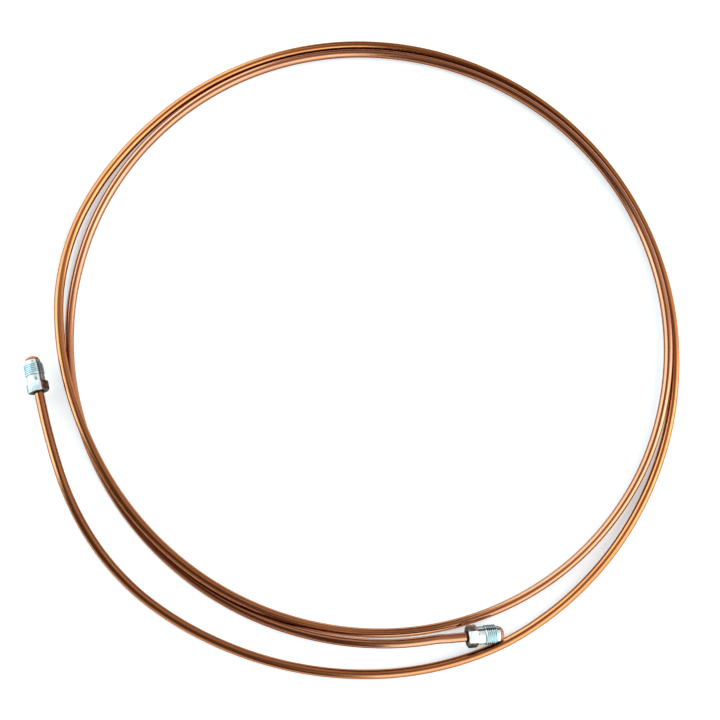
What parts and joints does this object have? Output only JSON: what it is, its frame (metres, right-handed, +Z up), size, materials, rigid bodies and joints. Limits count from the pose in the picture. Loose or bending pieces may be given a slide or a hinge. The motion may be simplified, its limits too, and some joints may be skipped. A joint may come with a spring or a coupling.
{
  "type": "brake line",
  "caption": "Coiled metal brake line with a bubble flare and a captive hexagonal tube nut at each end.",
  "frame": {"origin": "on the floor, below the middle of the whole line's footprint", "axes": "+Z up, across the thin way of the coil; +Y along the coil's longest way; the end of nut A is at -X, the end of nut B at -Y"},
  "size_m": [0.3438, 0.346, 0.0138],
  "materials": {
    "copper_tube": "drawn copper, semi-bright",
    "zinc_nut": "bright zinc plate"
  },
  "bodies": {
    "tube": {"brake_tube": "copper_tube"},
    "nut_a": {"tube_nut_a": "zinc_nut"},
    "nut_b": {"tube_nut_b": "zinc_nut"}
  },
  "joints": [
    {"name": "nut_a_spin", "type": "hinge", "parent": "tube", "child": "nut_a", "pos_m": [-0.16355, -0.03227, 0.00543], "axis": [-0.2521, 0.9677, 0], "continuous": true},
    {"name": "nut_b_spin", "type": "hinge", "parent": "tube", "child": "nut_b", "pos_m": [0.05261, -0.15242, 0.00838], "axis": [0.9917, 0.1077, -0.0698], "continuous": true}
  ]
}
